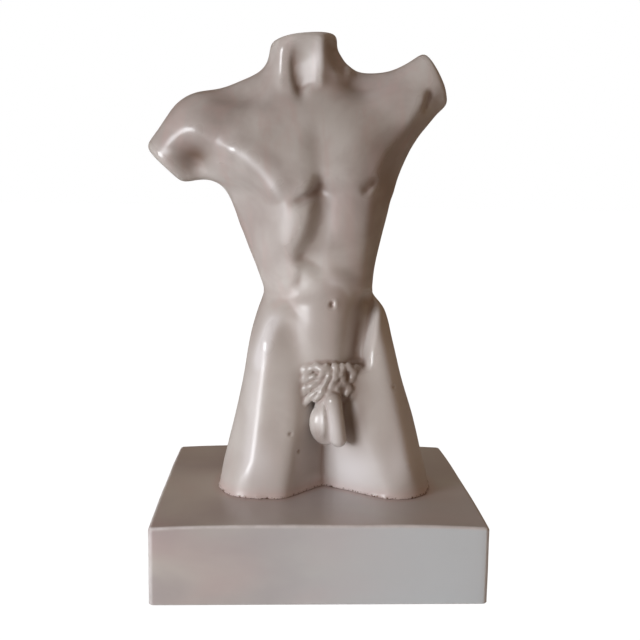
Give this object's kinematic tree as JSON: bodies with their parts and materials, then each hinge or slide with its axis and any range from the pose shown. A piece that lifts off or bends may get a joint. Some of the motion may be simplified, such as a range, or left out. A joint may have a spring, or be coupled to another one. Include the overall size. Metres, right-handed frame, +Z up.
{
  "type": "male torso sculpture",
  "caption": "Glazed ceramic sculpture of a standing male torso without head, arms and lower legs, on a low rectangular plinth.",
  "frame": {"origin": "centre of the plinth's flat underside", "axes": "+Z up, from the plinth to the neck; the figure's front faces -Y; +X is to the right of someone who looks at its front"},
  "size_m": [0.2615, 0.22, 0.4244],
  "materials": {
    "torso_glaze": "glossy warm grey-cream glaze, pinkish where it pools",
    "plinth_glaze": "glossy warm grey glaze with pinholes and worn edges"
  },
  "bodies": {
    "root": {"torso": "torso_glaze", "plinth": "plinth_glaze"}
  },
  "joints": []
}
